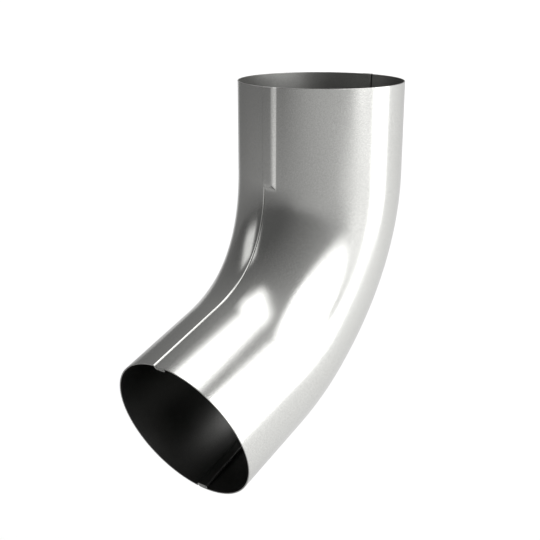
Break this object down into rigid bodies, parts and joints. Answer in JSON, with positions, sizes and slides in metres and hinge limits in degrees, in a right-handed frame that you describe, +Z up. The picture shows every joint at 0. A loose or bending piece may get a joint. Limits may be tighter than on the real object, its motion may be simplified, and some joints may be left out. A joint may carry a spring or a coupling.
{
  "type": "downspout elbow",
  "caption": "Round galvanised downspout elbow with a socket at the top and a spigot at the outlet, pressed in halves and lock-seamed along throat and heel.",
  "frame": {"origin": "centre of the socket's mouth", "axes": "+Z up out of the socket, +X the way the outlet points, bend plane XZ"},
  "size_m": [0.1991, 0.102, 0.2296],
  "materials": {
    "galvanised_sheet": "satin"
  },
  "bodies": {
    "root": {"left_half_shell": "galvanised_sheet", "right_half_shell": "galvanised_sheet"}
  },
  "joints": []
}
